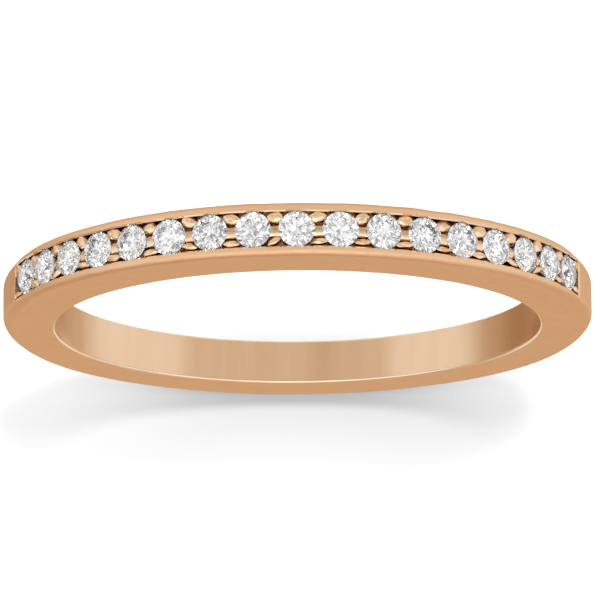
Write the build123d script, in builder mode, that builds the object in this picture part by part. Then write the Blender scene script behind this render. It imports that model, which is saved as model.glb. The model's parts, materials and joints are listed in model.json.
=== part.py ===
"""Half-eternity wedding band: one cast gold band and seventeen round diamonds.

Millimetres. The origin is the centre of the finger hole, +Y runs along the
finger, +Z points at the middle stone and X runs across the ring.
"""
import os
from math import cos, radians, sin, tan

from build123d import *

os.makedirs("parts", exist_ok=True)

# ------------------------------------------------------------------ band
FINGER_DIAMETER = 17.3
HALF_SPAN = 10.48
HALF_HEIGHT = 10.82
OUTLINE_RISE = 0.13
WIDTH_AT_HEAD = 1.88
WIDTH_AT_SHANK = 1.56
OUTER_EDGE_RADIUS = 0.20
INNER_EDGE_RADIUS = 0.07

# ---------------------------------------------------------------- stones
STONE_COUNT = 17
STONE_DIAMETER = 1.25
STONE_PITCH = 1.53
STONE_DEPTH = 0.10
TABLE_RATIO = 0.57
CROWN_ANGLE = 34.5
PAVILION_ANGLE = 40.75
STAR_RATIO = 0.50
LOWER_HALF_RATIO = 0.77
GIRDLE_RATIO = 0.03
MAIN_FACETS = 8
STONE_TURN_STEP = 17.0

# ---------------------------------------------------- channel and beads
CHANNEL_WIDTH = 1.22
CHANNEL_DEPTH = 0.32
CHANNEL_END_GAP = 0.36
BRIGHT_CUT = 0.04
BEAD_OFFSET = 0.43
BEAD_HALF_LENGTH = 0.33
BEAD_HALF_WIDTH = 0.165
BEAD_TOP = 0.02
BEAD_ROUND = 0.07
BRIDGE_WIDTH = 0.38
BRIDGE_LENGTH = 0.70
BRIDGE_TOP = 0.06
BRIDGE_ROUND = 0.06
CORNER_BEAD_SETBACK = 0.20
SEAT_CLEARANCE = 0.012
ROOT_DEPTH = 0.12
END_WALL_IN = 1.0
END_WALL_OUT = 3.0
BEYOND_HEAD = 14.0

# ---------------------------------------------------------- derived sizes
HEAD_TOP = OUTLINE_RISE + HALF_HEIGHT
SHANK_BOTTOM = OUTLINE_RISE - HALF_HEIGHT
SIDE_SLOPE = (WIDTH_AT_HEAD - WIDTH_AT_SHANK) / 2 / (HEAD_TOP - SHANK_BOTTOM)
HALF_WIDTH_AT_ORIGIN = WIDTH_AT_SHANK / 2 - SIDE_SLOPE * SHANK_BOTTOM
CHANNEL_END = (STONE_COUNT // 2) * STONE_PITCH + STONE_DIAMETER / 2 + CHANNEL_END_GAP

# The outer profile starts at the middle stone and runs towards +X.
outline = Edge.make_ellipse(
    x_radius=HALF_HEIGHT,
    y_radius=HALF_SPAN,
    plane=Plane(origin=(0, 0, OUTLINE_RISE), x_dir=(0, 0, 1), z_dir=(0, 1, 0)),
)


def station(arc):
    """Plane on the outer profile: x along the band, y along the finger, z outwards."""
    travel = arc if arc >= 0 else outline.length + arc
    point = outline.position_at(travel, position_mode=PositionMode.LENGTH)
    along = outline.tangent_at(travel, position_mode=PositionMode.LENGTH)
    return Plane(origin=point, x_dir=along, z_dir=along.cross(Vector(0, 1, 0)))


def side_plane(side):
    """Outward plane of the side face towards +Y (side 1) or -Y (side -1)."""
    return Plane(
        origin=(0, side * HALF_WIDTH_AT_ORIGIN, 0),
        x_dir=(1, 0, 0),
        z_dir=(0, side, -SIDE_SLOPE),
    )


def facet_plane(a, b, c):
    """Plane through three corners of a facet, facing away from the stone's middle."""
    normal = (b - a).cross(c - a).normalized()
    if normal.dot(a) < 0:
        normal = -normal
    return Plane(origin=a, z_dir=normal)


def on_ring(radius, turn, height):
    return Vector(radius * cos(radians(turn)), radius * sin(radians(turn)), height)


# ----------------------------------------------------- round brilliant cut
GIRDLE_RADIUS = STONE_DIAMETER / 2
HALF_GIRDLE = GIRDLE_RATIO * STONE_DIAMETER / 2
TABLE_RADIUS = GIRDLE_RADIUS * TABLE_RATIO
FACET_TURN = 360 / MAIN_FACETS
HALF_TURN = FACET_TURN / 2
TABLE_FLAT = TABLE_RADIUS * cos(radians(HALF_TURN))
STAR_RADIUS = TABLE_FLAT + STAR_RATIO * (GIRDLE_RADIUS - TABLE_FLAT)
LOWER_RADIUS = GIRDLE_RADIUS * (1 - LOWER_HALF_RATIO)
TABLE_HEIGHT = HALF_GIRDLE + (GIRDLE_RADIUS - TABLE_RADIUS) * tan(radians(CROWN_ANGLE))
CULET_HEIGHT = -HALF_GIRDLE - GIRDLE_RADIUS * tan(radians(PAVILION_ANGLE))
STAR_DROP = (STAR_RADIUS * cos(radians(HALF_TURN)) - TABLE_RADIUS) * tan(radians(CROWN_ANGLE))
STAR_HEIGHT = TABLE_HEIGHT - STAR_DROP
LOWER_RISE = LOWER_RADIUS * cos(radians(HALF_TURN)) * tan(radians(PAVILION_ANGLE))
LOWER_HEIGHT = CULET_HEIGHT + LOWER_RISE

crown_planes = []
pavilion_planes = []
for facet in range(MAIN_FACETS):
    turn = facet * FACET_TURN
    tip = turn + HALF_TURN
    table_corner = on_ring(TABLE_RADIUS, turn, TABLE_HEIGHT)
    next_corner = on_ring(TABLE_RADIUS, turn + FACET_TURN, TABLE_HEIGHT)
    star_tip = on_ring(STAR_RADIUS, tip, STAR_HEIGHT)
    star_before = on_ring(STAR_RADIUS, turn - HALF_TURN, STAR_HEIGHT)
    lower_tip = on_ring(LOWER_RADIUS, tip, LOWER_HEIGHT)
    lower_before = on_ring(LOWER_RADIUS, turn - HALF_TURN, LOWER_HEIGHT)
    culet = Vector(0, 0, CULET_HEIGHT)
    crown_planes.append(facet_plane(table_corner, star_tip, star_before))
    crown_planes.append(facet_plane(table_corner, next_corner, star_tip))
    pavilion_planes.append(facet_plane(culet, lower_tip, lower_before))
    for edge_turn in (turn, turn + FACET_TURN):
        crown_planes.append(
            facet_plane(
                star_tip,
                on_ring(GIRDLE_RADIUS, edge_turn, HALF_GIRDLE),
                on_ring(GIRDLE_RADIUS, tip, HALF_GIRDLE),
            )
        )
        pavilion_planes.append(
            facet_plane(
                lower_tip,
                on_ring(GIRDLE_RADIUS, edge_turn, -HALF_GIRDLE),
                on_ring(GIRDLE_RADIUS, tip, -HALF_GIRDLE),
            )
        )

with BuildPart() as brilliant:
    with BuildSketch(Plane.XY.offset(CULET_HEIGHT)):
        Circle(GIRDLE_RADIUS)
    extrude(amount=TABLE_HEIGHT - CULET_HEIGHT)
    for cut in crown_planes + pavilion_planes:
        split(bisect_by=cut, keep=Keep.BOTTOM)

# Room for one stone: its outline turned round its axis, eased by the clearance.
with BuildPart() as seat:
    with BuildSketch(Plane.XZ):
        with BuildLine():
            Polyline(
                (0, TABLE_HEIGHT + SEAT_CLEARANCE),
                (TABLE_RADIUS + SEAT_CLEARANCE, TABLE_HEIGHT + SEAT_CLEARANCE),
                (STAR_RADIUS + SEAT_CLEARANCE, STAR_HEIGHT + SEAT_CLEARANCE),
                (GIRDLE_RADIUS + SEAT_CLEARANCE, HALF_GIRDLE + SEAT_CLEARANCE),
                (GIRDLE_RADIUS + SEAT_CLEARANCE, -HALF_GIRDLE - SEAT_CLEARANCE),
                (LOWER_RADIUS + SEAT_CLEARANCE, LOWER_HEIGHT - SEAT_CLEARANCE),
                (0, CULET_HEIGHT - 2 * SEAT_CLEARANCE),
                close=True,
            )
        make_face()
    revolve(axis=Axis.Z)

# ------------------------------------------------------ beads and bridges
# A bead and its post, standing on the channel floor; z = 0 is the outer profile.
with BuildPart() as bead:
    with BuildSketch(Plane.XY.offset(-CHANNEL_DEPTH - ROOT_DEPTH)):
        Ellipse(BEAD_HALF_LENGTH, BEAD_HALF_WIDTH)
    extrude(amount=CHANNEL_DEPTH + ROOT_DEPTH - BEAD_TOP)
    fillet(bead.faces().sort_by(Axis.Z)[-1].edges(), radius=BEAD_ROUND)

# The bridge of metal left between two seats, which the stones waist in the middle.
with BuildPart() as bridge:
    with BuildSketch(Plane.XY.offset(-CHANNEL_DEPTH - ROOT_DEPTH)):
        Rectangle(BRIDGE_LENGTH, BRIDGE_WIDTH)
    extrude(amount=CHANNEL_DEPTH + ROOT_DEPTH - BRIDGE_TOP)
    fillet(bridge.edges().filter_by(Axis.X).sort_by(Axis.Z)[-2:], radius=BRIDGE_ROUND)

# ------------------------------------------------------------------- band
right_end = station(CHANNEL_END)
left_end = station(-CHANNEL_END)

with BuildPart() as channel:
    with BuildSketch(Plane.XZ):
        with Locations((0, OUTLINE_RISE)):
            Ellipse(HALF_SPAN + END_WALL_IN, HALF_HEIGHT + END_WALL_IN)
            Ellipse(
                HALF_SPAN - CHANNEL_DEPTH,
                HALF_HEIGHT - CHANNEL_DEPTH,
                mode=Mode.SUBTRACT,
            )
        right_in = right_end.from_local_coords((0, 0, -END_WALL_IN))
        right_out = right_end.from_local_coords((0, 0, END_WALL_OUT))
        left_in = left_end.from_local_coords((0, 0, -END_WALL_IN))
        left_out = left_end.from_local_coords((0, 0, END_WALL_OUT))
        with BuildLine():
            Polyline(
                (right_in.X, right_in.Z),
                (right_out.X, right_out.Z),
                (BEYOND_HEAD, BEYOND_HEAD),
                (-BEYOND_HEAD, BEYOND_HEAD),
                (left_out.X, left_out.Z),
                (left_in.X, left_in.Z),
                close=True,
            )
        make_face(mode=Mode.INTERSECT)
    extrude(amount=CHANNEL_WIDTH / 2, both=True)

with BuildPart() as band:
    with BuildSketch(Plane.XZ):
        with Locations((0, OUTLINE_RISE)):
            Ellipse(HALF_SPAN, HALF_HEIGHT)
        Circle(FINGER_DIAMETER / 2, mode=Mode.SUBTRACT)
    extrude(amount=WIDTH_AT_HEAD, both=True)
    for side in (-1, 1):
        split(bisect_by=side_plane(side), keep=Keep.BOTTOM)
    side_faces = [band.faces().sort_by(Axis.Y)[0], band.faces().sort_by(Axis.Y)[-1]]
    outer_edges = [face.outer_wire().edges() for face in side_faces]
    fillet([edge for group in outer_edges for edge in group], radius=OUTER_EDGE_RADIUS)
    side_faces = [band.faces().sort_by(Axis.Y)[0], band.faces().sort_by(Axis.Y)[-1]]
    inner_edges = [face.inner_wires()[0].edges() for face in side_faces]
    fillet([edge for group in inner_edges for edge in group], radius=INNER_EDGE_RADIUS)

    add(channel.part, mode=Mode.SUBTRACT)
    channel_walls = band.faces().filter_by(
        lambda face: abs(abs(face.center().Y) - CHANNEL_WIDTH / 2) < 0.001
    )
    rim_edges = [wall.edges().sort_by(SortBy.LENGTH)[-1] for wall in channel_walls]
    chamfer(rim_edges, length=BRIGHT_CUT)

    # Between each two stones: a bead either side and the bridge in the middle.
    for gap in range(STONE_COUNT - 1):
        place = station((gap - (STONE_COUNT - 2) / 2) * STONE_PITCH)
        with Locations(place.location):
            add(bridge.part)
        for side in (-1, 1):
            with Locations(place.location * Location((0, side * BEAD_OFFSET, 0))):
                add(bead.part)
    # One bead in each corner of the channel.
    for end in (-1, 1):
        place = station(end * (CHANNEL_END - CORNER_BEAD_SETBACK))
        for side in (-1, 1):
            with Locations(place.location * Location((0, side * BEAD_OFFSET, 0))):
                add(bead.part)

    for index in range(STONE_COUNT):
        place = station((index - STONE_COUNT // 2) * STONE_PITCH)
        with Locations(place.location * Location((0, 0, -STONE_DEPTH))):
            add(seat.part, mode=Mode.SUBTRACT)

band.part.label = "band"
export_step(band.part, "parts/band.step")

# ----------------------------------------------------------------- stones
# Each stone drops into its seat turned a little further than the one before it.
for index in range(STONE_COUNT):
    place = station((index - STONE_COUNT // 2) * STONE_PITCH)
    drop = Location((0, 0, -STONE_DEPTH), (0, 0, index * STONE_TURN_STEP))
    with BuildPart() as stone:
        with Locations(place.location * drop):
            add(brilliant.part)
    stone.part.label = f"stone_{index + 1:02d}"
    export_step(stone.part, f"parts/stone_{index + 1:02d}.step")
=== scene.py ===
"""Rose gold half-eternity wedding band: materials, fine geometry, light and camera."""
import json
import math

import bmesh
import bpy
import numpy as np
from mathutils import Matrix, Vector, noise


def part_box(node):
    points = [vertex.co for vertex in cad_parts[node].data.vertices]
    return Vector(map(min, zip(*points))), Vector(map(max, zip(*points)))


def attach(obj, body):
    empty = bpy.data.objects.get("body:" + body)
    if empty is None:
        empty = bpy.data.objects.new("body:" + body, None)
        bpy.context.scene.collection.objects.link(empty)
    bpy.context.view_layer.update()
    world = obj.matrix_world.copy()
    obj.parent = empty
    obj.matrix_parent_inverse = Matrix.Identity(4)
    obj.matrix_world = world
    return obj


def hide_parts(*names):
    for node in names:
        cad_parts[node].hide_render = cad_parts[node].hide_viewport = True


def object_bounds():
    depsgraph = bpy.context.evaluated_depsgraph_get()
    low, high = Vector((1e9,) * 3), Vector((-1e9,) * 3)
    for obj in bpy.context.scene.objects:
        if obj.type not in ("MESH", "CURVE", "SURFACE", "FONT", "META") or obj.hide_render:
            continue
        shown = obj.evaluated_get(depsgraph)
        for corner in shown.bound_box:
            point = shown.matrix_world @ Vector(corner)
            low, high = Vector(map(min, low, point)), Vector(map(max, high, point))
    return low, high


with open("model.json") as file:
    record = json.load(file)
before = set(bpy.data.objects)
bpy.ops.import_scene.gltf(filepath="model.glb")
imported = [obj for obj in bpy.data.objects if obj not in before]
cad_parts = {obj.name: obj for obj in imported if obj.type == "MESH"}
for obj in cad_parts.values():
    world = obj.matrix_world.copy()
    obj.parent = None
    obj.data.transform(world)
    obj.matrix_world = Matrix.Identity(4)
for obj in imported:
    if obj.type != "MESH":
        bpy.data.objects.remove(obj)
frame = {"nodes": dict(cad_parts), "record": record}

MM = 0.001
cad_low, cad_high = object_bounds()

# ------------------------------------------------------------ the ring, in mm
band_low, band_high = (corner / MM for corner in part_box("band"))
mounts = {mount["name"]: mount for mount in frame["record"]["mounts"]}
BORE_RADIUS = mounts["finger_hole"]["dims"]["r_mm"]
HALF_SPAN = band_high.x
HALF_HEIGHT = (band_high.z - band_low.z) / 2
RISE = (band_high.z + band_low.z) / 2
WIDTH_AT_HEAD = 1.88
WIDTH_AT_SHANK = 1.56
SIDE_SLOPE = (WIDTH_AT_HEAD - WIDTH_AT_SHANK) / 2 / (band_high.z - band_low.z)
BAND_STATIONS = 640
OUTLINE_STATIONS = 20001
SHARP_ANGLE = 38

# The edges' radii, and where along the band, in mm past the channel's end, the outer
# edges turn from crisp to soft and back.
OUTER_EDGE = 0.20
SHOULDER_EDGE = 0.38
INNER_EDGE = 0.07
INNER_EDGE_POWER = 1.15
SOFTENING = (-2.5, 1.0)
CRISPING = (5.0, 11.0)

# Rows of points over the bore, a side and the outer face, as shares of each.
BORE_ROWS = (0.0, 0.35, 0.7, 0.95)
SIDE_ROWS = (0.04, 0.35, 0.65, 0.96)
OUTER_ROWS = (0.95, 0.6, 0.0)
INNER_EDGE_ROWS = 7
OUTER_EDGE_ROWS = 9

# The channel. Its bevels run on a little above the outer face, and its cutters stand clear.
CHANNEL_WIDTH = 1.22
CHANNEL_DEPTH = 0.32
CHANNEL_END_GAP = 0.36
CHANNEL_STATIONS = 221
BRIGHT_CUT = 0.055
END_BEVELS = ((-1, 0.022), (1, 0.055))
BEVEL_RUN_ON = 0.01
CUTTER_TOP = 0.4
END_CUTTER_REACH = 0.3

# The bridges between the stones.
BRIDGE_HALF_LENGTH = 0.36
BRIDGE_HALF_WIDTH = 0.23
BRIDGE_SHIFT = -0.04
BRIDGE_HEIGHT = 0.14
BRIDGE_TOP = 0.09
BRIDGE_DIP = 0.02
BRIDGE_ROOT = 0.45
BRIDGE_STATIONS = 13
BRIDGE_ROWS = 17

# The setting beads. BACK_BEAD and FRONT_BEAD are an offset across the band and a half width.
BEAD_HALF_LENGTH = 0.33
BACK_BEAD = (0.44, 0.215)
FRONT_BEAD = (-0.435, 0.135)
BEAD_TOP = 0.01
BEAD_DOME = 0.17
BEAD_DOME_POWER = 0.95
BEAD_WAIST = 0.24
BEAD_ROOT = 0.5
BEAD_ROOT_RATIO = 0.90
BEAD_ROWS = 13
BEAD_SEGMENTS = 40
CORNER_BEAD_SETBACK = 0.20
CORNER_BEAD_SCALE = 0.85

# How far hand work strays: size and frequency of the dents, then spreads of place and shape.
BIG_DENT = (0.13, 0.9)
SMALL_DENT = (0.06, 2.3)
DENT_HEIGHT = 0.35
DENT_LIMIT = 0.4
BEAD_SEED_STEP = 7.3
BEAD_DRIFT = (0.018, 0.012, 0.012)
BEAD_LEAN = 12
BEAD_LENGTHENING = 0.06
BEAD_NARROWING = 0.04
STONE_LEAN = 0.8

# How far the polished surface wavers: size in mm and frequency, everywhere and at the head.
WAVER = (0.004, 1.1)
HEAD_WAVER = (0.014, 1.3)
HEAD_RIPPLE = (0.006, 4.0)
HEAD_TURN = 1.35
HEAD_DEPTH = 0.4

# The stones, by the usual proportions of a round brilliant.
STONES = sorted(name for name in frame["nodes"] if name.startswith("stone_"))
STONE_DIAMETER = 1.25
STONE_PITCH = 1.53
STONE_DEPTH = 0.10
STONE_TURN = 17.0
CROWN_ANGLE = 34.5
PAVILION_ANGLE = 40.75
TABLE_RATIO = 0.57
STAR_RATIO = 0.50
LOWER_RATIO = 0.77
GIRDLE_RATIO = 0.03
GIRDLE_SEGMENTS = 96
SEAT_SEGMENTS = 64
SEAT_CUTTER_TOP = 0.6
SEAT_EASE = 0.010
BEAD_EASE = 0.004
CHANNEL_END = (len(STONES) // 2) * STONE_PITCH + STONE_DIAMETER / 2 + CHANNEL_END_GAP

# Seeds, so that every run draws the same.
random = np.random.default_rng(17)
noise.seed_set(17)


# ---------------------------------------------------------------- the outline
def arc_table():
    """Turn about the finger hole against arc length, from the middle stone."""
    turn = np.linspace(-math.pi, math.pi, OUTLINE_STATIONS)
    step = np.hypot(HALF_SPAN * np.cos(turn), HALF_HEIGHT * np.sin(turn))
    arc = np.concatenate([[0.0], np.cumsum((step[1:] + step[:-1]) / 2 * np.diff(turn))])
    return arc - arc[len(arc) // 2], turn


ARC, TURN = arc_table()


def station(arc):
    """Point, direction along the band and outward normal at an arc length."""
    turn = np.interp(arc, ARC, TURN)
    point = Vector((HALF_SPAN * math.sin(turn), 0, RISE + HALF_HEIGHT * math.cos(turn)))
    along = Vector((HALF_SPAN * math.cos(turn), 0, -HALF_HEIGHT * math.sin(turn))).normalized()
    return point, along, along.cross(Vector((0, 1, 0)))


def station_matrix(arc):
    """Local x along the band, y along the finger, z out of the band."""
    point, along, out = station(arc)
    columns = Matrix((along, Vector((0, 1, 0)), out)).transposed()
    return Matrix.Translation(point) @ columns.to_4x4()


def half_width(z):
    return WIDTH_AT_SHANK / 2 + SIDE_SLOPE * (z - band_low.z)


def stone_arc(index):
    return (index - len(STONES) // 2) * STONE_PITCH


def gap_arcs():
    """Arc lengths halfway between neighbouring stones."""
    return [(gap - (len(STONES) - 2) / 2) * STONE_PITCH for gap in range(len(STONES) - 1)]


# --------------------------------------------------------------- mesh helpers
def new_object(name, content):
    piece = bpy.data.objects.new(name, content)
    bpy.context.scene.collection.objects.link(piece)
    return piece


def mesh_from(name, points, faces):
    mesh = bpy.data.meshes.new(name)
    mesh.from_pydata([tuple(point) for point in points], [], faces)
    mesh.validate()
    shape = bmesh.new()
    shape.from_mesh(mesh)
    bmesh.ops.recalc_face_normals(shape, faces=shape.faces)
    shape.to_mesh(mesh)
    shape.free()
    return mesh


def sweep(name, loops, closed):
    """Quads between neighbouring loops, with flat caps unless the sweep closes."""
    count = len(loops[0])
    points = [point for loop in loops for point in loop]
    faces = []
    for row in range(len(loops) if closed else len(loops) - 1):
        first = row * count
        second = (row + 1) % len(loops) * count
        for k in range(count):
            nxt = (k + 1) % count
            faces.append((first + k, first + nxt, second + nxt, second + k))
    if not closed:
        faces.append(tuple(range(count)))
        faces.append(tuple(range((len(loops) - 1) * count, len(loops) * count)))
    return mesh_from(name, points, faces)


def lathe(name, profile, steps):
    """Turns (radius, height) points round z; the first and last lie on the axis."""
    points = [(0, 0, profile[0][1])]
    for radius, height in profile[1:-1]:
        for k in range(steps):
            turn = math.tau * k / steps
            points.append((radius * math.cos(turn), radius * math.sin(turn), height))
    points.append((0, 0, profile[-1][1]))
    last = len(points) - 1
    rings = len(profile) - 2
    faces = []
    for k in range(steps):
        nxt = (k + 1) % steps
        faces.append((0, 1 + nxt, 1 + k))
        for ring in range(rings - 1):
            low = 1 + ring * steps
            faces.append((low + k, low + nxt, low + steps + nxt, low + steps + k))
        top = 1 + (rings - 1) * steps
        faces.append((top + k, top + nxt, last))
    return mesh_from(name, points, faces)


def joined(name, meshes):
    """One object out of several meshes and their matrices."""
    shape = bmesh.new()
    for mesh, matrix in meshes:
        copy = mesh.copy()
        copy.transform(matrix)
        shape.from_mesh(copy)
        bpy.data.meshes.remove(copy)
    result = bpy.data.meshes.new(name)
    shape.to_mesh(result)
    shape.free()
    return new_object(name, result)


def boolean(target, cutter, operation):
    """Applies one cut or union, and throws the cutter away."""
    step = target.modifiers.new("step", "BOOLEAN")
    step.operation = operation
    step.solver = "MANIFOLD"
    step.object = cutter
    graph = bpy.context.evaluated_depsgraph_get()
    result = bpy.data.meshes.new_from_object(target.evaluated_get(graph))
    target.modifiers.remove(step)
    target.data = result
    bpy.data.objects.remove(cutter)


# ------------------------------------------------------------------- the band
def outer_edge(arc):
    """Radius of the outer edges: crisp along the head and the shank, soft at the shoulders."""
    away = abs(arc) - CHANNEL_END
    softened = (away - SOFTENING[0]) / (SOFTENING[1] - SOFTENING[0])
    uncrisped = (CRISPING[1] - away) / (CRISPING[1] - CRISPING[0])
    share = min(max(softened, 0), 1) * min(max(uncrisped, 0), 1)
    return OUTER_EDGE + (SHOULDER_EDGE - OUTER_EDGE) * share**2 * (3 - 2 * share)


def section(arc):
    """One closed cross-section of the plain band, without its channel."""
    point, _, out = station(arc)
    outer = outer_edge(arc)
    reach = point.dot(out)
    wall = reach - math.sqrt(reach**2 - point.length_squared + BORE_RADIUS**2)
    half = [(share, -INNER_EDGE, wall) for share in BORE_ROWS]
    for b in np.linspace(0, math.pi / 2, INNER_EDGE_ROWS):
        inset = -INNER_EDGE + INNER_EDGE * math.sin(b) ** INNER_EDGE_POWER
        depth = wall - INNER_EDGE + INNER_EDGE * math.cos(b) ** INNER_EDGE_POWER
        half.append((1.0, inset, depth))
    for share in SIDE_ROWS:
        half.append((1.0, 0.0, wall - INNER_EDGE - share * (wall - INNER_EDGE - outer)))
    for b in np.linspace(0, math.pi / 2, OUTER_EDGE_ROWS):
        half.append((1.0, -outer + outer * math.cos(b), outer * (1 - math.sin(b))))
    half += [(share, -outer, 0.0) for share in OUTER_ROWS]
    loop = []
    for side, points in ((1, half), (-1, half[-2:0:-1])):
        for share, inset, depth in points:
            place = point - out * depth
            place.y = side * share * (half_width(place.z) + inset)
            loop.append(place)
    return loop


def channel_cutter():
    wide = CHANNEL_WIDTH / 2
    lip = wide + BRIGHT_CUT
    outline = [
        (-wide, CHANNEL_DEPTH),
        (wide, CHANNEL_DEPTH),
        (wide, BRIGHT_CUT - BEVEL_RUN_ON),
        (lip, -BEVEL_RUN_ON),
        (lip, -CUTTER_TOP),
        (-lip, -CUTTER_TOP),
        (-lip, -BEVEL_RUN_ON),
        (-wide, BRIGHT_CUT - BEVEL_RUN_ON),
    ]
    loops = []
    for arc in np.linspace(-CHANNEL_END, CHANNEL_END, CHANNEL_STATIONS):
        point, _, out = station(arc)
        loops.append([point - out * depth + Vector((0, y, 0)) for y, depth in outline])
    return new_object("channel_cutter", sweep("channel_cutter", loops, closed=False))


def end_cutter(end, bevel):
    """The bevel where the channel's square end meets the shank."""
    corners = (
        (-END_CUTTER_REACH, bevel - BEVEL_RUN_ON),
        (0.0, bevel - BEVEL_RUN_ON),
        (bevel, -BEVEL_RUN_ON),
        (bevel, -CUTTER_TOP),
        (-END_CUTTER_REACH, -CUTTER_TOP),
    )
    matrix = station_matrix(end * CHANNEL_END)
    loops = []
    for y in (-CHANNEL_WIDTH / 2 - BRIGHT_CUT, CHANNEL_WIDTH / 2 + BRIGHT_CUT):
        loops.append([matrix @ Vector((end * x, y, -depth)) for x, depth in corners])
    return new_object("end_cutter", sweep("end_cutter", loops, closed=False))


def bridge_mesh():
    """The rounded bar of metal between two seats, dipping in the middle."""
    loops = []
    for x in np.linspace(-BRIDGE_HALF_LENGTH, BRIDGE_HALF_LENGTH, BRIDGE_STATIONS):
        dip = BRIDGE_DIP * (1 - (x / BRIDGE_HALF_LENGTH) ** 2)
        loop = [
            Vector((x, BRIDGE_SHIFT - BRIDGE_HALF_WIDTH, -BRIDGE_ROOT)),
            Vector((x, BRIDGE_SHIFT + BRIDGE_HALF_WIDTH, -BRIDGE_ROOT)),
        ]
        for b in np.linspace(0, math.pi, BRIDGE_ROWS):
            across = BRIDGE_SHIFT + BRIDGE_HALF_WIDTH * math.cos(b)
            up = BRIDGE_HEIGHT * (math.sin(b) - 1)
            loop.append(Vector((x, across, -BRIDGE_TOP - dip + up)))
        loops.append(loop)
    return sweep("bridge", loops, closed=False)


def bead_mesh():
    """A domed grain on its post, its radius one unit, its top at z = 0."""
    profile = [(0, -BEAD_ROOT), (BEAD_ROOT_RATIO, -BEAD_ROOT), (1.0, -BEAD_WAIST)]
    for b in np.linspace(0, math.pi / 2, BEAD_ROWS)[1:-1]:
        profile.append((math.cos(b) ** BEAD_DOME_POWER, -BEAD_DOME + BEAD_DOME * math.sin(b)))
    profile.append((0, 0.0))
    return lathe("bead", profile, BEAD_SEGMENTS)


def lumpy(mesh, seed):
    """A copy of a bead, dented as the beading tool and the graver leave it."""
    copy = mesh.copy()
    for vertex in copy.vertices:
        here = Vector((vertex.co.x, vertex.co.y, 2 * vertex.co.z))
        dent = BIG_DENT[0] * noise.noise_vector(here * BIG_DENT[1] + Vector((seed, 0, 0)))
        dent += SMALL_DENT[0] * noise.noise_vector(here * SMALL_DENT[1] + Vector((0, seed, 0)))
        vertex.co.x += dent.x
        vertex.co.y += dent.y
        if vertex.co.z > -DENT_LIMIT:
            vertex.co.z += DENT_HEIGHT * dent.z
    return copy


def seat_profile(ease, open_top):
    """Half outline of the room one stone takes, from culet to top."""
    cut = brilliant_sizes()
    profile = [
        (0, cut["culet"] - 2 * ease),
        (cut["lower"][0] + ease, cut["lower"][1] - ease),
        (cut["girdle"] + ease, -cut["half_girdle"] - ease),
    ]
    if open_top:
        profile.append((cut["girdle"] + ease, SEAT_CUTTER_TOP))
        profile.append((0, SEAT_CUTTER_TOP))
    else:
        profile.append((cut["girdle"] + ease, cut["half_girdle"] + ease))
        profile.append((cut["star"][0] + ease, cut["star"][1] + ease))
        profile.append((cut["table"][0] + ease, cut["table"][1] + ease))
        profile.append((0, cut["table"][1] + ease))
    return profile


def seats(ease, open_top):
    one = lathe("seat", seat_profile(ease, open_top), SEAT_SEGMENTS)
    sunk = Matrix.Translation((0, 0, -STONE_DEPTH))
    return joined("seats", [(one, station_matrix(stone_arc(k)) @ sunk) for k in range(len(STONES))])


def bead_places():
    """Arc length, offset across the band, half width and scale of each setting bead."""
    rows = [(arc, 1.0) for arc in gap_arcs()]
    rows += [(end * (CHANNEL_END - CORNER_BEAD_SETBACK), CORNER_BEAD_SCALE) for end in (-1, 1)]
    return [(arc, *bead, scale) for arc, scale in rows for bead in (FRONT_BEAD, BACK_BEAD)]


def beads():
    """All setting beads, each a little astray, hollowed where the stones sit under them."""
    one = bead_mesh()
    meshes = []
    for arc, offset, half, scale in bead_places():
        stray = random.normal(0, 1, 5)
        drift = [spread * share for spread, share in zip(BEAD_DRIFT, stray)]
        place = Matrix.Translation((drift[0], offset + drift[1], -BEAD_TOP + drift[2]))
        lean = Matrix.Rotation(math.radians(BEAD_LEAN * stray[3]), 4, "Z")
        length = BEAD_HALF_LENGTH * scale * (1 + BEAD_LENGTHENING * stray[4])
        width = half * scale * (1 - BEAD_NARROWING * stray[4])
        size = Matrix.Diagonal((length, width, 1.0, 1.0))
        bead = lumpy(one, BEAD_SEED_STEP * len(meshes))
        meshes.append((bead, station_matrix(arc) @ place @ lean @ size))
    grains = joined("beads", meshes)
    boolean(grains, seats(BEAD_EASE, open_top=False), "DIFFERENCE")
    return grains


def waver(place, strength, shift=(0, 0, 0)):
    """A smooth random push at a place, by a strength of (size, frequency)."""
    size, frequency = strength
    return size * np.array(noise.noise_vector(place * frequency + Vector(shift)))


def wobble(mesh):
    """Moves the surface a few thousandths of a millimetre, most where the head was hand cut."""
    count = len(mesh.vertices)
    places = np.empty(count * 3)
    mesh.vertices.foreach_get("co", places)
    places = places.reshape(-1, 3)
    turn = np.arctan2(places[:, 0] / HALF_SPAN, (places[:, 2] - RISE) / HALF_HEIGHT)
    outer = np.hypot(HALF_SPAN * np.sin(turn), RISE + HALF_HEIGHT * np.cos(turn))
    depth = outer - np.hypot(places[:, 0], places[:, 2])
    at_head = (np.abs(turn) < HEAD_TURN) & (depth < HEAD_DEPTH)
    for k in range(count):
        here = Vector(places[k])
        places[k] += waver(here, WAVER)
        if at_head[k]:
            places[k] += waver(here, HEAD_WAVER, (5, 0, 0))
            places[k] += waver(here, HEAD_RIPPLE)
    mesh.vertices.foreach_set("co", places.ravel())
    mesh.update()


SIDE, BORE, RIM, CUT, SEAT, BORE_EDGE = range(6)


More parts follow.
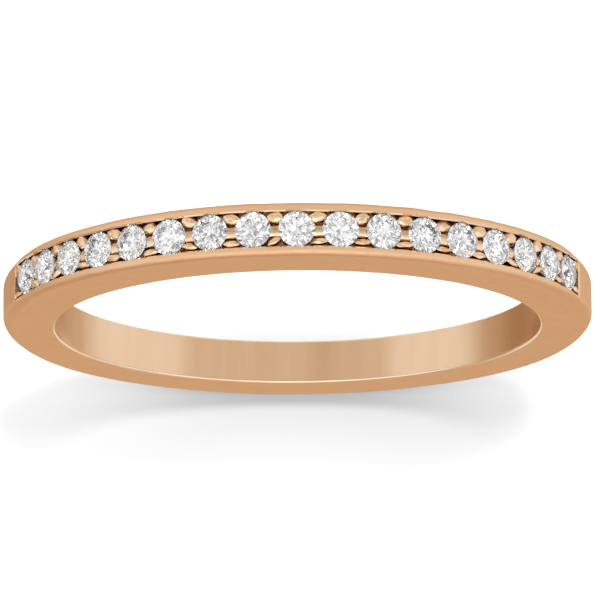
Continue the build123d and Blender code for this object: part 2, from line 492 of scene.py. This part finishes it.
def seat_faces(centres):
    """True for faces on the cones that the stones sit in, below their girdles."""
    top, bottom, room = -0.02, -0.7, 0.035
    cut = brilliant_sizes()
    fall = (cut["girdle"] - cut["lower"][0]) / (-cut["half_girdle"] - cut["lower"][1])
    found = np.zeros(len(centres), dtype=bool)
    for index in range(len(STONES)):
        inverse = np.array(station_matrix(stone_arc(index)).inverted())
        local = centres @ inverse[:3, :3].T + inverse[:3, 3]
        height = local[:, 2] + STONE_DEPTH
        radius = np.hypot(local[:, 0], local[:, 1])
        cone = cut["girdle"] + (height + cut["half_girdle"]) * fall
        found |= (height < top) & (height > bottom) & (radius < cone + room)
    return found


def zone_faces(mesh):
    """Gives each face the finish of its zone. Tolerances are in mm, wider than the wobble."""
    bore_room, side_room, outer_room, end_room = 0.006, 0.01, 0.012, 0.03
    sideways = 0.96
    centres = np.empty(len(mesh.polygons) * 3)
    mesh.polygons.foreach_get("center", centres)
    seated = seat_faces(centres.reshape(-1, 3))
    end, _, _ = station(CHANNEL_END + BRIGHT_CUT + end_room)
    last = math.atan2(end.x / HALF_SPAN, (end.z - RISE) / HALF_HEIGHT)
    for face in mesh.polygons:
        x, y, z = face.center
        radius = math.hypot(x, z)
        turn = math.atan2(x / HALF_SPAN, (z - RISE) / HALF_HEIGHT)
        outer = math.hypot(HALF_SPAN * math.sin(turn), RISE + HALF_HEIGHT * math.cos(turn))
        inside = abs(y) < CHANNEL_WIDTH / 2 + BRIGHT_CUT and abs(turn) < last
        if radius < BORE_RADIUS + bore_room:
            face.material_index = BORE
        elif abs(face.normal.y) > sideways and abs(y) > half_width(z) - side_room:
            face.material_index = SIDE
        elif radius < BORE_RADIUS + 2 * INNER_EDGE:
            face.material_index = BORE_EDGE
        elif seated[face.index]:
            face.material_index = SEAT
        elif inside and outer - radius > outer_room:
            face.material_index = CUT
        else:
            face.material_index = RIM


def gold_band(materials):
    """The whole casting as one closed mesh, with its finishes in the zones' order."""
    arcs = np.linspace(ARC[0], ARC[-1], BAND_STATIONS + 1)[:-1]
    band = new_object("gold_band", sweep("gold_band", [section(arc) for arc in arcs], closed=True))
    boolean(band, channel_cutter(), "DIFFERENCE")
    for end, bevel in END_BEVELS:
        boolean(band, end_cutter(end, bevel), "DIFFERENCE")
    bridges = joined("bridges", [(bridge_mesh(), station_matrix(arc)) for arc in gap_arcs()])
    boolean(band, bridges, "UNION")
    boolean(band, seats(SEAT_EASE, open_top=True), "DIFFERENCE")
    boolean(band, beads(), "UNION")
    mesh = band.data
    wobble(mesh)
    mesh.materials.clear()
    for material in materials:
        mesh.materials.append(material)
    zone_faces(mesh)
    mesh.shade_smooth()
    mesh.set_sharp_from_angle(angle=math.radians(SHARP_ANGLE))
    mesh.transform(Matrix.Scale(MM, 4))
    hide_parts("band")
    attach(band, "root")


# ----------------------------------------------------------------- the stones
def brilliant_sizes():
    """Radii and heights of a round brilliant's corners, in mm, girdle at z = 0."""
    girdle = STONE_DIAMETER / 2
    half_girdle = GIRDLE_RATIO * STONE_DIAMETER / 2
    half_turn = math.pi / 8
    crown = math.tan(math.radians(CROWN_ANGLE))
    pavilion = math.tan(math.radians(PAVILION_ANGLE))
    table = (girdle * TABLE_RATIO, half_girdle + girdle * (1 - TABLE_RATIO) * crown)
    flat = table[0] * math.cos(half_turn)
    star_radius = flat + STAR_RATIO * (girdle - flat)
    star = (star_radius, table[1] - (star_radius * math.cos(half_turn) - table[0]) * crown)
    culet = -half_girdle - girdle * pavilion
    lower_radius = girdle * (1 - LOWER_RATIO)
    lower = (lower_radius, culet + lower_radius * math.cos(half_turn) * pavilion)
    return {
        "girdle": girdle,
        "half_girdle": half_girdle,
        "table": table,
        "star": star,
        "culet": culet,
        "lower": lower,
    }


def ring_point(radius, turn, height):
    return Vector((radius * math.cos(turn), radius * math.sin(turn), height))


def facet_planes():
    """Three points of every crown and pavilion facet of a round brilliant."""
    cut = brilliant_sizes()
    eighth = math.tau / 8
    girdle, high, low = cut["girdle"], cut["half_girdle"], -cut["half_girdle"]
    planes = []
    for k in range(8):
        turn = k * eighth
        tip = turn + eighth / 2
        corner = ring_point(cut["table"][0], turn, cut["table"][1])
        following = ring_point(cut["table"][0], turn + eighth, cut["table"][1])
        star = ring_point(cut["star"][0], tip, cut["star"][1])
        star_before = ring_point(cut["star"][0], tip - eighth, cut["star"][1])
        lower = ring_point(cut["lower"][0], tip, cut["lower"][1])
        lower_before = ring_point(cut["lower"][0], tip - eighth, cut["lower"][1])
        planes.append((corner, star, star_before))
        planes.append((corner, following, star))
        planes.append((Vector((0, 0, cut["culet"])), lower, lower_before))
        for edge in (turn, turn + eighth):
            planes.append((star, ring_point(girdle, edge, high), ring_point(girdle, tip, high)))
            planes.append((lower, ring_point(girdle, edge, low), ring_point(girdle, tip, low)))
    return planes


def brilliant_mesh():
    """A blank cylinder cut down by the facet planes, in mm, girdle at z = 0."""
    cut = brilliant_sizes()
    shape = bmesh.new()
    bmesh.ops.create_cone(
        shape,
        cap_ends=True,
        segments=GIRDLE_SEGMENTS,
        radius1=cut["girdle"],
        radius2=cut["girdle"],
        depth=cut["table"][1] - cut["culet"],
        matrix=Matrix.Translation((0, 0, (cut["table"][1] + cut["culet"]) / 2)),
    )
    for a, b, c in facet_planes():
        normal = (b - a).cross(c - a).normalized()
        if normal.dot(a) < 0:
            normal = -normal
        everything = shape.verts[:] + shape.edges[:] + shape.faces[:]
        found = bmesh.ops.bisect_plane(
            shape, geom=everything, dist=1e-6, plane_co=a, plane_no=normal, clear_outer=True
        )
        rim = [item for item in found["geom_cut"] if isinstance(item, bmesh.types.BMEdge)]
        open_rim = [edge for edge in rim if edge.is_boundary]
        if open_rim:
            bmesh.ops.contextual_create(shape, geom=open_rim)
    bmesh.ops.recalc_face_normals(shape, faces=shape.faces)
    mesh = bpy.data.meshes.new("brilliant")
    shape.to_mesh(mesh)
    shape.free()
    return mesh


def diamonds(material):
    """One stone in every seat, each turned and leaning a little differently."""
    one = brilliant_mesh()
    for index, node in enumerate(STONES):
        mesh = one.copy()
        mesh.name = "diamond_" + node[-2:]
        tilt = [math.radians(angle) for angle in random.normal(0, STONE_LEAN, 2)]
        lean = Matrix.Rotation(tilt[0], 4, "X") @ Matrix.Rotation(tilt[1], 4, "Y")
        turn = Matrix.Rotation(math.radians(index * STONE_TURN), 4, "Z")
        mesh.transform(Matrix.Scale(MM, 4))
        mesh.materials.append(material)
        stone = new_object(mesh.name, mesh)
        place = station_matrix(stone_arc(index)) @ Matrix.Translation((0, 0, -STONE_DEPTH)) @ lean @ turn
        place.translation *= MM
        stone.matrix_world = place
        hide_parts(node)
        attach(stone, "root")


# --------------------------------------------------------------- node helpers
def node_material(name):
    """A material, its node tree and shader, and the socket of object coordinates."""
    material = bpy.data.materials.new(name)
    material.use_nodes = True
    tree = material.node_tree
    shader = tree.nodes["Principled BSDF"]
    place = tree.nodes.new("ShaderNodeTexCoord")
    return material, tree, shader, place.outputs["Object"]


def noise_node(tree, place, scale, detail, stretch=(1, 1, 1)):
    """Noise over object coordinates; scale is in cycles per millimetre."""
    mapping = tree.nodes.new("ShaderNodeMapping")
    mapping.inputs["Scale"].default_value = [scale / MM * part for part in stretch]
    texture = tree.nodes.new("ShaderNodeTexNoise")
    texture.inputs["Scale"].default_value = 1.0
    texture.inputs["Detail"].default_value = detail
    tree.links.new(place, mapping.inputs["Vector"])
    tree.links.new(mapping.outputs["Vector"], texture.inputs["Vector"])
    return texture.outputs["Fac"]


def stepped(tree, value, start, end, low=0.0, high=1.0, ramp="SMOOTHSTEP"):
    """A soft step from low at start to high at end, or a straight one."""
    node = tree.nodes.new("ShaderNodeMapRange")
    node.interpolation_type = ramp
    node.inputs["From Min"].default_value = start
    node.inputs["From Max"].default_value = end
    node.inputs["To Min"].default_value = low
    node.inputs["To Max"].default_value = high
    tree.links.new(value, node.inputs["Value"])
    return node.outputs["Result"]


def calculated(tree, operation, *values):
    """A sum on sockets or floats."""
    node = tree.nodes.new("ShaderNodeMath")
    node.operation = operation
    for socket, value in zip(node.inputs, values):
        if isinstance(value, float):
            socket.default_value = value
        else:
            tree.links.new(value, socket)
    return node.outputs["Value"]


def vector_sum(tree, operation, *values):
    """A vector sum on sockets or tuples; a dot product or a length comes out as a number."""
    node = tree.nodes.new("ShaderNodeVectorMath")
    node.operation = operation
    for socket, value in zip(node.inputs, values):
        if isinstance(value, tuple):
            socket.default_value = value
        else:
            tree.links.new(value, socket)
    return node.outputs["Value" if operation in ("DOT_PRODUCT", "LENGTH") else "Vector"]


def parts(tree, vector):
    """The x, y and z sockets of a vector."""
    node = tree.nodes.new("ShaderNodeSeparateXYZ")
    tree.links.new(vector, node.inputs["Vector"])
    return node.outputs["X"], node.outputs["Y"], node.outputs["Z"]


def blended(tree, share, under, over):
    """Lays a colour over another one by a share; each is a socket or three numbers."""
    node = tree.nodes.new("ShaderNodeMix")
    node.data_type = "RGBA"
    tree.links.new(share, node.inputs["Factor"])
    for socket, colour in ((node.inputs[6], under), (node.inputs[7], over)):
        if isinstance(colour, tuple):
            socket.default_value = (*colour, 1)
        else:
            tree.links.new(colour, socket)
    return node.outputs[2]


def recoloured(material, share, over):
    """Lays a second base colour over a material's own, by a share from 0 to 1."""
    tree = material.node_tree
    base = tree.nodes["Principled BSDF"].inputs["Base Color"]
    tree.links.new(blended(tree, share, base.links[0].from_socket, over), base)


def depth_below_outline(tree, place, shallow, deep):
    """0 where the surface is nearer the outer profile than shallow, 1 below deep, in mm."""
    mapping = tree.nodes.new("ShaderNodeMapping")
    mapping.inputs["Scale"].default_value = (1 / HALF_SPAN / MM, 0, 1 / HALF_HEIGHT / MM)
    mapping.inputs["Location"].default_value = (0, 0, -RISE / HALF_HEIGHT)
    tree.links.new(place, mapping.inputs["Vector"])
    length = vector_sum(tree, "LENGTH", mapping.outputs["Vector"])
    middle = (HALF_SPAN + HALF_HEIGHT) / 2
    return stepped(tree, length, 1 - shallow / middle, 1 - deep / middle)


# ------------------------------------------------------------------ materials
NOISE_MIDDLE = (0.3, 0.7)
POLISH_PATCHES = 3.0
GRAIN_HEIGHT = 0.002

# The channel's shading. Each pair is where a shade begins and where it is full: by how far the
# surface faces outwards, by how far it faces back, by place across the band and by depth in mm.
SHADED_GOLD = (0.46, 0.26, 0.14)
# Painted shade for the deepest parts of the channel.
DEEP_SHADE_GOLD = (0.27, 0.13, 0.065)
STEEP = (0.68, 0.25)
FACING_BACK = (-0.12, 0.22)
BACK_SHADE = 0.62
BEHIND_FRONT_BEADS = (-0.25, -0.1)
SUNK = (0.03, 0.08)
DEEPEST = (0.20, 0.33)
TURNED_SIDEWAYS = (0.15, 0.75)

DIAMOND_INDEX = 2.417
GIRDLE_FROST = 0.3


def rose_gold(name, pale, deep, rough, grain, grain_scale, cloud_scale=0.5, stretch=(1, 1, 1)):
    """Metal with a cloudy colour, uneven polish and a fine grain from the finish."""
    material, tree, shader, place = node_material(name)
    shader.inputs["Metallic"].default_value = 1.0
    cloud = noise_node(tree, place, cloud_scale, 2.0, stretch)
    tree.links.new(blended(tree, cloud, pale, deep), shader.inputs["Base Color"])
    patch = noise_node(tree, place, POLISH_PATCHES, 3.0)
    tree.links.new(stepped(tree, patch, *NOISE_MIDDLE, *rough, "LINEAR"), shader.inputs["Roughness"])
    fine = noise_node(tree, place, grain_scale, 2.0, stretch)
    bump = tree.nodes.new("ShaderNodeBump")
    bump.inputs["Strength"].default_value = grain
    bump.inputs["Distance"].default_value = GRAIN_HEIGHT * MM
    tree.links.new(fine, bump.inputs["Height"])
    tree.links.new(bump.outputs["Normal"], shader.inputs["Normal"])
    return material


def paint_channel_shade(material):
    """Painted shade: darkens the channel's steep walls, its slopes that face back, and what lies
    deepest.
    """
    tree = material.node_tree
    coordinates = tree.nodes["Texture Coordinate"]
    place = coordinates.outputs["Object"]
    normal = coordinates.outputs["Normal"]
    outwards = vector_sum(tree, "NORMALIZE", vector_sum(tree, "MULTIPLY", place, (1, 0, 1)))
    steep = stepped(tree, vector_sum(tree, "DOT_PRODUCT", outwards, normal), *STEEP)
    _, backwards, _ = parts(tree, normal)
    _, across, _ = parts(tree, place)
    facing_back = stepped(tree, backwards, *FACING_BACK, 0.0, BACK_SHADE)
    behind_front = stepped(tree, across, *(limit * MM for limit in BEHIND_FRONT_BEADS))
    rear = calculated(tree, "MULTIPLY", facing_back, behind_front)
    sunk = depth_below_outline(tree, place, *SUNK)
    shaded = calculated(tree, "MULTIPLY", calculated(tree, "MAXIMUM", steep, rear), sunk)
    # Painted shade on the steep walls and on the slopes that face back.
    recoloured(material, shaded, SHADED_GOLD)
    # Painted shade, darkest where the channel lies deepest.
    recoloured(material, depth_below_outline(tree, place, *DEEPEST), DEEP_SHADE_GOLD)


def side_shade_edges(material, over):
    """Turns to the side faces' darker colour, their painted shade, where the surface curves round to
    them.
    """
    tree = material.node_tree
    _, sideways, _ = parts(tree, tree.nodes["Texture Coordinate"].outputs["Normal"])
    tilt = calculated(tree, "ABSOLUTE", sideways)
    recoloured(material, stepped(tree, tilt, *TURNED_SIDEWAYS), over)


def edge_tint(material, colour):
    """Colour the metal keeps when seen at a flat angle."""
    material.node_tree.nodes["Principled BSDF"].inputs["Specular Tint"].default_value = (*colour, 1)


def band_materials():
    """The band's finishes, in the order of SIDE, BORE, RIM, CUT, SEAT and BORE_EDGE."""
    # The sides' satin finish is real; their colour, darker than the rest of the rose gold, is painted
    # shade.
    shaded_side_gold = (0.81, 0.475, 0.265)
    side = rose_gold("satin_side_painted_shade", shaded_side_gold, (0.78, 0.455, 0.25), (0.30, 0.38), 0.25, 18.0)
    edge_tint(side, (0.935, 0.75, 0.56))
    bore = rose_gold(
        "satin_bore", (0.98, 0.71, 0.50), (0.88, 0.61, 0.40), (0.14, 0.20), 0.35, 14.0, 1.6, (1, 0.12, 1)
    )
    rim = rose_gold("rim", (0.95, 0.67, 0.44), (0.93, 0.64, 0.41), (0.46, 0.56), 0.20, 8.0)
    # Painted shade of the sides, carried onto the rim's rounded edges.
    side_shade_edges(rim, shaded_side_gold)
    edge_tint(rim, (0.96, 0.81, 0.64))
    cut = rose_gold("bright_cut", (0.99, 0.76, 0.54), (0.96, 0.70, 0.47), (0.05, 0.11), 0.10, 8.0)
    # Painted shade in the channel's recesses, on the cut metal.
    paint_channel_shade(cut)
    seat = rose_gold("plated_seat", (0.96, 0.96, 0.97), (0.93, 0.93, 0.94), (0.12, 0.18), 0.05, 8.0)
    edge = rose_gold("polished_edge", (0.99, 0.84, 0.64), (0.98, 0.81, 0.61), (0.10, 0.16), 0.05, 8.0)
    return [side, bore, rim, cut, seat, edge]


def diamond_material():
    """Clear diamond with a frosted girdle."""
    material, tree, shader, place = node_material("diamond")
    shader.inputs["Transmission Weight"].default_value = 1.0
    shader.inputs["IOR"].default_value = DIAMOND_INDEX
    shader.inputs["Base Color"].default_value = (1, 1, 1, 1)
    _, _, height = parts(tree, place)
    from_girdle = calculated(tree, "ABSOLUTE", height)
    at_girdle = calculated(tree, "LESS_THAN", from_girdle, GIRDLE_RATIO * STONE_DIAMETER / 2 * MM)
    tree.links.new(calculated(tree, "MULTIPLY", at_girdle, GIRDLE_FROST), shader.inputs["Roughness"])
    return material


# ------------------------------------------------------------ floor and light
FLOOR_HALF_SIDE = 1.5
PAPER_ROUGHNESS = 0.9
PAPER_CLOUDS = 0.02
PAPER = (0.90, 0.90, 0.90)
PALE_PAPER = (0.92, 0.92, 0.92)

# What the metal mirrors, card by card, in degrees round the finger axis: 0 is overhead.
PALE_CARD = (0.87, 0.86, 0.845)
SAND_CARD = (0.69, 0.62, 0.53)
BROWN_CARD = (0.46, 0.31, 0.19)
CARDS = (
    (-180, BROWN_CARD),
    (-130, (0.38, 0.24, 0.14)),
    (-106, (0.53, 0.41, 0.30)),
    (-84, PALE_CARD),
    (-52, PALE_CARD),
    (-40, SAND_CARD),
    (-18, (0.67, 0.60, 0.51)),
    (-12, (0.57, 0.47, 0.37)),
    (-5, SAND_CARD),
    (52, SAND_CARD),
    (62, PALE_CARD),
    (106, PALE_CARD),
    (132, (0.60, 0.48, 0.36)),
    (160, BROWN_CARD),
)

# Cards laid over those, behind, in front and low in front. Each begins and is full at a pair of
# values of a direction's y, and at a pair of values of its z.
WIDE_CARDS = (
    ((0.30, 0.60), (0.85, 0.55), (0.84, 0.79, 0.71)),
    ((0.05, -0.35), (-0.1, 0.3), (1.02, 1.01, 0.99)),
    ((0.22, -0.05), (-0.3, -0.8), (0.80, 0.79, 0.775)),
)
HIGHLIGHT = (1.48, 1.47, 1.44)
HIGHLIGHT_DIRECTION = (0, -0.7, 0.714)
HIGHLIGHT_SPREAD = (0.88, 0.97)

ROOM_PATCHES = 3.0
ROOM_CONTRAST = (0.36, 0.60)
ROOM_LIGHT = (0.32, 1.20)
EVEN_LIGHT = (1.15, 1.15, 1.15)

LAMP_STRENGTH = 1.22
LAMP_SIZE = 13
LAMP_LEAN = (-9.0, 8.0)


def floor():
    """A sheet of white paper under the ring."""
    far = FLOOR_HALF_SIDE
    corners = [(-far, -far, 0), (far, -far, 0), (far, far, 0), (-far, far, 0)]
    mesh = mesh_from("floor", corners, [(0, 1, 2, 3)])
    piece = new_object("floor", mesh)
    piece.location.z = cad_low.z
    material, tree, shader, place = node_material("floor_paper")
    shader.inputs["Roughness"].default_value = PAPER_ROUGHNESS
    shader.inputs["Specular IOR Level"].default_value = 0.0
    tone = noise_node(tree, place, PAPER_CLOUDS, 2.0)
    tree.links.new(blended(tree, tone, PAPER, PALE_PAPER), shader.inputs["Base Color"])
    mesh.materials.append(material)
    piece.visible_glossy = False
    piece.visible_transmission = False


def cards(tree, x, z):
    """The colours of CARDS by direction round the finger axis."""
    turn = calculated(tree, "ARCTAN2", x, z)
    share = calculated(tree, "MULTIPLY_ADD", turn, 1 / math.tau, 0.5)
    ramp = tree.nodes.new("ShaderNodeValToRGB")
    ramp.color_ramp.interpolation = "EASE"
    while len(ramp.color_ramp.elements) > 1:
        ramp.color_ramp.elements.remove(ramp.color_ramp.elements[-1])
    ramp.color_ramp.elements[0].position = 0.0
    ramp.color_ramp.elements[0].color = (*CARDS[0][1], 1)
    for degrees, colour in CARDS[1:]:
        stop = ramp.color_ramp.elements.new((degrees + 180) / 360)
        stop.color = (*colour, 1)
    tree.links.new(share, ramp.inputs["Fac"])
    return ramp.outputs["Color"]


def studio():
    """An even white dome for the paper, cards for the metal, and a patchy room for the stones."""
    world = bpy.data.worlds.new("studio")
    bpy.context.scene.world = world
    world.use_nodes = True
    world.cycles.sampling_method = "NONE"
    tree = world.node_tree
    direction = tree.nodes.new("ShaderNodeTexCoord").outputs["Generated"]
    x, y, z = parts(tree, direction)

    metal = cards(tree, x, z)
    for y_range, z_range, colour in WIDE_CARDS:
        share = calculated(tree, "MULTIPLY", stepped(tree, y, *y_range), stepped(tree, z, *z_range))
        metal = blended(tree, share, metal, colour)
    towards = vector_sum(tree, "DOT_PRODUCT", direction, HIGHLIGHT_DIRECTION)
    metal = blended(tree, stepped(tree, towards, *HIGHLIGHT_SPREAD), metal, HIGHLIGHT)

    patches = tree.nodes.new("ShaderNodeTexNoise")
    patches.inputs["Scale"].default_value = ROOM_PATCHES
    patches.inputs["Detail"].default_value = 1.0
    tree.links.new(direction, patches.inputs["Vector"])
    room = stepped(tree, patches.outputs["Fac"], *ROOM_CONTRAST, *ROOM_LIGHT)

    rays = tree.nodes.new("ShaderNodeLightPath").outputs
    through = calculated(tree, "MAXIMUM", rays["Is Transmission Ray"], rays["Is Singular Ray"])
    seen = blended(tree, through, metal, room)
    seen = blended(tree, rays["Is Diffuse Ray"], seen, EVEN_LIGHT)
    tree.links.new(seen, tree.nodes["Background"].inputs["Color"])


def key_light():
    """Broad light from overhead, slightly behind and to the right, for the floor's shadow."""
    lamp = bpy.data.lights.new("key", "SUN")
    lamp.energy = LAMP_STRENGTH
    lamp.angle = math.radians(LAMP_SIZE)
    piece = new_object("key", lamp)
    piece.rotation_euler = (math.radians(LAMP_LEAN[0]), math.radians(LAMP_LEAN[1]), 0)
    piece.visible_glossy = False


# ----------------------------------------------------------------- the camera
FOCAL_LENGTH = 420.4
SENSOR_WIDTH = 36.0
ELEVATION = 76.0
ROLL = -0.42
DISTANCE = 250.0
AIM = (0.09, 0.19)
CLIP = (0.01, 5.0)


def camera():
    """Looks down on the head, 76 degrees up, from the front; AIM slides it across its view."""
    lens = bpy.data.cameras.new("camera")
    lens.lens = FOCAL_LENGTH
    lens.sensor_width = SENSOR_WIDTH
    lens.clip_start = CLIP[0]
    lens.clip_end = CLIP[1]
    piece = new_object("camera", lens)
    tip = Matrix.Rotation(math.pi / 2 - math.radians(ELEVATION), 4, "X")
    tilt = tip @ Matrix.Rotation(math.radians(ROLL), 4, "Z")
    eye = tilt @ Vector((*AIM, DISTANCE))
    piece.matrix_world = Matrix.Translation(eye * MM) @ tilt
    bpy.context.scene.camera = piece


gold_band(band_materials())
diamonds(diamond_material())
floor()
studio()
key_light()
camera()

scene = bpy.context.scene
scene.view_settings.view_transform = "Standard"
scene.cycles.max_bounces = 24
scene.cycles.glossy_bounces = 16
scene.cycles.transmission_bounces = 20
scene.cycles.caustics_reflective = False
scene.cycles.caustics_refractive = False
